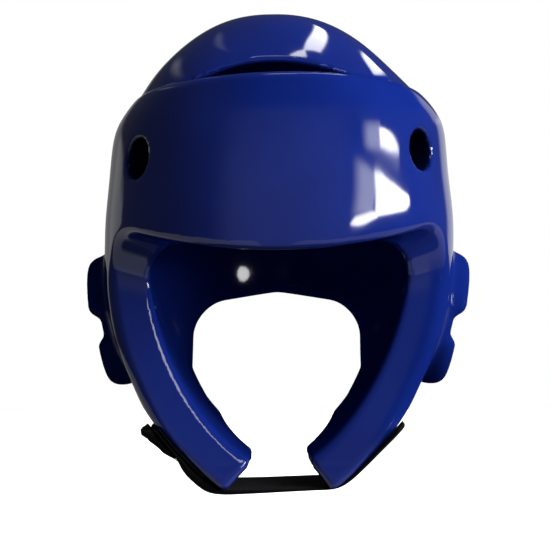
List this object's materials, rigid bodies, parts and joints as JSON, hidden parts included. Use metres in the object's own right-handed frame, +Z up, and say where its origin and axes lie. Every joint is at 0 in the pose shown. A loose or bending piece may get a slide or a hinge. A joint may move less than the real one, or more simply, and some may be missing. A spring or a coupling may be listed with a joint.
{
  "type": "dipped foam martial arts headgear",
  "caption": "Open-face martial arts headgear: a glossy dipped-foam shell with forehead band, vented crown, cheek guards and ear cups, held by an elastic chin strap with a hook and loop closure.",
  "frame": {"origin": "top of the hollow inside the crown, where the wearer's head touches the foam", "axes": "+Z up, -Y the way the wearer faces, +X towards the cheek without the hook and loop closure"},
  "size_m": [0.2258, 0.2319, 0.2653],
  "materials": {
    "dipped_foam": "glossy smooth dipped vinyl skin over foam",
    "webbing": "black ribbed elastic webbing",
    "closure": "black hook and loop tape"
  },
  "bodies": {
    "root": {"shell": "dipped_foam", "chin_strap": "webbing", "cheek_loop_patch": "closure", "strap_hook_tab": "closure"}
  },
  "joints": []
}
